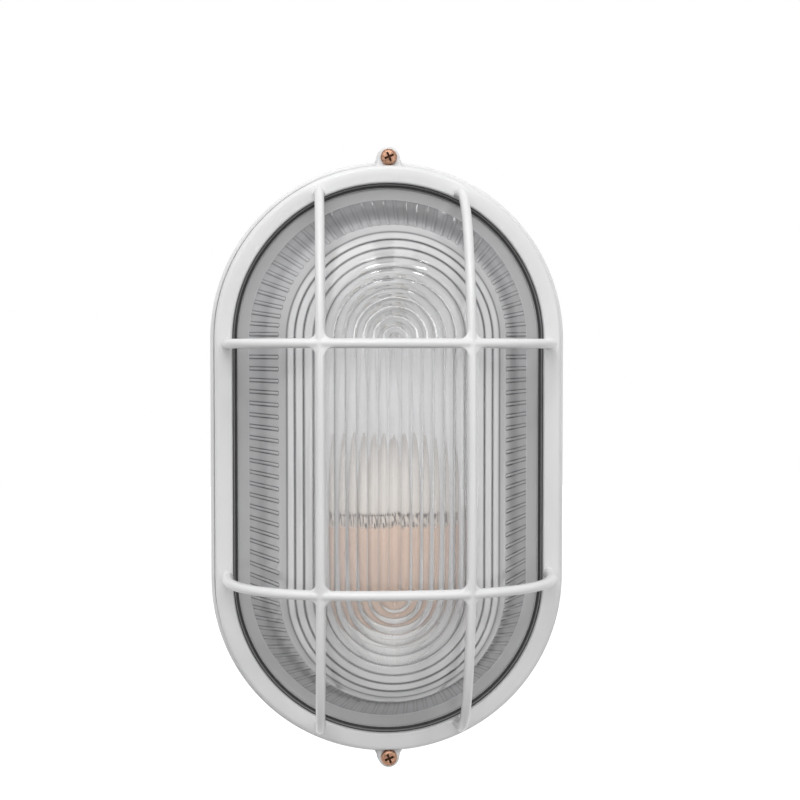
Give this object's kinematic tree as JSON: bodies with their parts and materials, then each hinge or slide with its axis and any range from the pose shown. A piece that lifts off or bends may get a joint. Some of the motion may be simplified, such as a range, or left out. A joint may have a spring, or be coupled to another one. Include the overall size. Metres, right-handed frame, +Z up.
{
  "type": "oval vapor-tight wall light",
  "caption": "Oval sealed wall light: white cast base and caged bezel, pressed ribbed glass in a rubber gasket, with a lamp upright inside.",
  "frame": {"origin": "centre of the flat back that lies on the wall", "axes": "+Z up along the oval's long axis, -Y out of the wall towards the viewer, +X to the viewer's right"},
  "size_m": [0.171, 0.1108, 0.3004],
  "materials": {
    "casting": "smooth white powder coat on die-cast aluminium",
    "glass": "clear pressed glass, gloss",
    "rubber": "black moulded rubber, matt",
    "sheet": "white enamelled sheet",
    "zinc_steel": "zinc-plated steel",
    "yellow_zinc": "yellow-passivated steel with a coppery tone",
    "brass": "plain brass",
    "porcelain": "glazed white porcelain",
    "lamp": "opal dome and peach-gold body",
    "lead": "pale sheathed wire"
  },
  "bodies": {
    "root": {"base_housing": "casting", "guard_frame": "casting", "glass_lens": "glass", "lens_gasket": "rubber", "cable_grommet": "rubber", "fixing_plug_upper": "rubber", "fixing_plug_lower": "rubber", "reflector_tray": "sheet", "holder_bracket": "zinc_steel", "tray_screw_1": "zinc_steel", "tray_screw_2": "zinc_steel", "tray_screw_3": "zinc_steel", "bracket_screw_left": "zinc_steel", "bracket_screw_right": "zinc_steel", "holder_screw_front": "zinc_steel", "holder_screw_rear": "zinc_steel", "block_screw": "zinc_steel", "cover_screw_top": "yellow_zinc", "cover_screw_bottom": "yellow_zinc", "earth_screw": "brass", "earth_washer": "brass", "lampholder_shell": "brass", "lampholder_contact": "brass", "holder_terminal_left": "brass", "holder_terminal_right": "brass", "holder_terminal_screw_left": "brass", "holder_terminal_screw_right": "brass", "barrel_live": "brass", "barrel_neutral": "brass", "clamp_screw_live_supply": "brass", "clamp_screw_live_lamp": "brass", "clamp_screw_neutral_supply": "brass", "clamp_screw_neutral_lamp": "brass", "lampholder_body": "porcelain", "terminal_block": "porcelain", "led_lamp": "lamp", "live_lead": "lead", "neutral_lead": "lead"}
  },
  "joints": []
}
